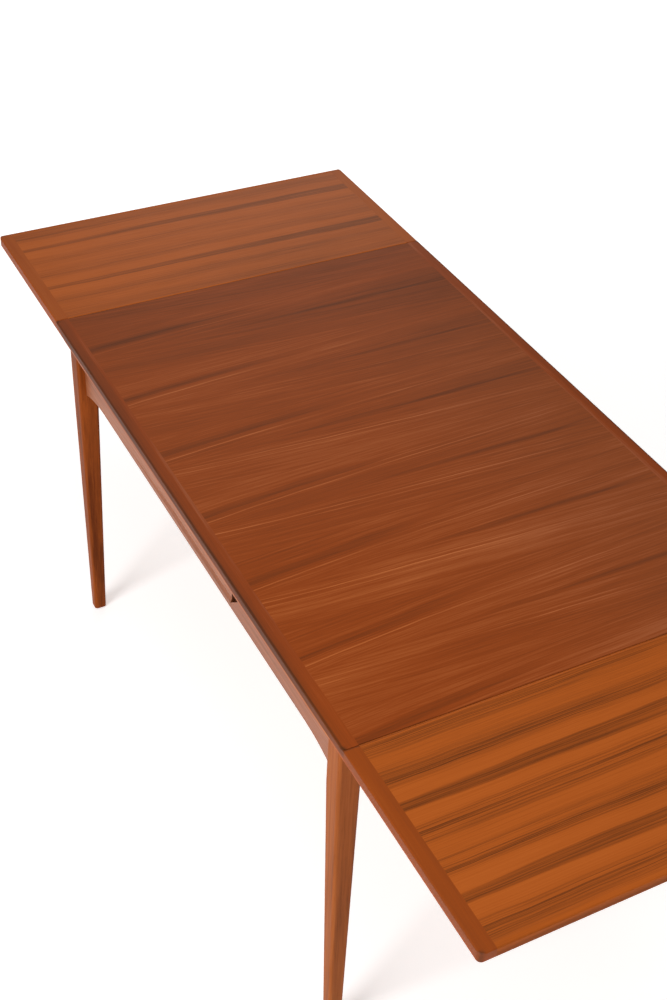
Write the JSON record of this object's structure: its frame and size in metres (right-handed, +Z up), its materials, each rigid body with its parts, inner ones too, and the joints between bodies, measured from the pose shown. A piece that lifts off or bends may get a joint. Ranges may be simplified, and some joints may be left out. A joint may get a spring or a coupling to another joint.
{
  "type": "draw leaf table",
  "caption": "Teak dining table with a loose main top and draw leaves on tapered lopers that slide out at each end, on a framed apron with square tapered legs.",
  "frame": {"origin": "on the floor under the middle of the table", "axes": "+Z up, +Y along the table towards the far leaf, +X to the right seen from the near end"},
  "size_m": [0.828, 1.994, 0.75],
  "materials": {
    "top_veneer": "satin oiled teak veneer",
    "top_lipping": "satin oiled solid teak",
    "leaf_veneer": "satin oiled teak veneer, less faded",
    "leaf_lipping": "satin oiled solid teak",
    "frame_teak": "satin oiled solid teak",
    "beech": "plain unfinished beech",
    "steel": "zinc plated"
  },
  "bodies": {
    "frame": {"leg_far_left": "frame_teak", "leg_far_right": "frame_teak", "leg_near_left": "frame_teak", "leg_near_right": "frame_teak", "side_apron_left": "frame_teak", "side_apron_right": "frame_teak", "end_apron_far": "frame_teak", "end_apron_near": "frame_teak", "corner_block_far_left": "beech", "corner_block_far_right": "beech", "corner_block_near_left": "beech", "corner_block_near_right": "beech", "corner_block_screws": "steel", "centre_bearer": "beech", "centre_plank": "beech", "centre_plank_screws": "steel"},
    "main_top": {"top_panel": "top_veneer", "top_lipping_left": "top_lipping", "top_lipping_right": "top_lipping", "top_lipping_far": "top_veneer", "top_lipping_near": "top_veneer", "top_pegs": "beech"},
    "leaf_far": {"leaf_far_panel": "leaf_veneer", "leaf_far_lipping_left": "leaf_lipping", "leaf_far_lipping_right": "leaf_lipping", "leaf_far_lipping_inner": "leaf_veneer", "leaf_far_lipping_outer": "leaf_lipping", "leaf_far_loper_outboard": "beech", "leaf_far_loper_inboard": "beech", "leaf_far_stop_outboard": "beech", "leaf_far_stop_inboard": "beech", "leaf_far_loper_screws": "steel"},
    "leaf_near": {"leaf_near_panel": "leaf_veneer", "leaf_near_lipping_left": "leaf_lipping", "leaf_near_lipping_right": "leaf_lipping", "leaf_near_lipping_inner": "leaf_veneer", "leaf_near_lipping_outer": "leaf_lipping", "leaf_near_loper_outboard": "beech", "leaf_near_loper_inboard": "beech", "leaf_near_stop_outboard": "beech", "leaf_near_stop_inboard": "beech", "leaf_near_loper_screws": "steel"}
  },
  "joints": [
    {"name": "leaf_far_draw", "type": "slide", "parent": "frame", "child": "leaf_far", "axis": [0, -0.9985, -0.0549], "range_m": [0, 0.37556]},
    {"name": "leaf_near_draw", "type": "slide", "parent": "frame", "child": "leaf_near", "axis": [0, 0.9985, -0.0549], "range_m": [0, 0.37556]},
    {"name": "top_lift", "type": "slide", "parent": "frame", "child": "main_top", "axis": [0, 0, 1], "range_m": [0, 0.11809]}
  ],
  "couplings": [
    {"joint": "leaf_near_draw", "follows": "leaf_far_draw", "ratio": 1},
    {"joint": "top_lift", "follows": "leaf_far_draw", "ratio": 0.3139}
  ]
}
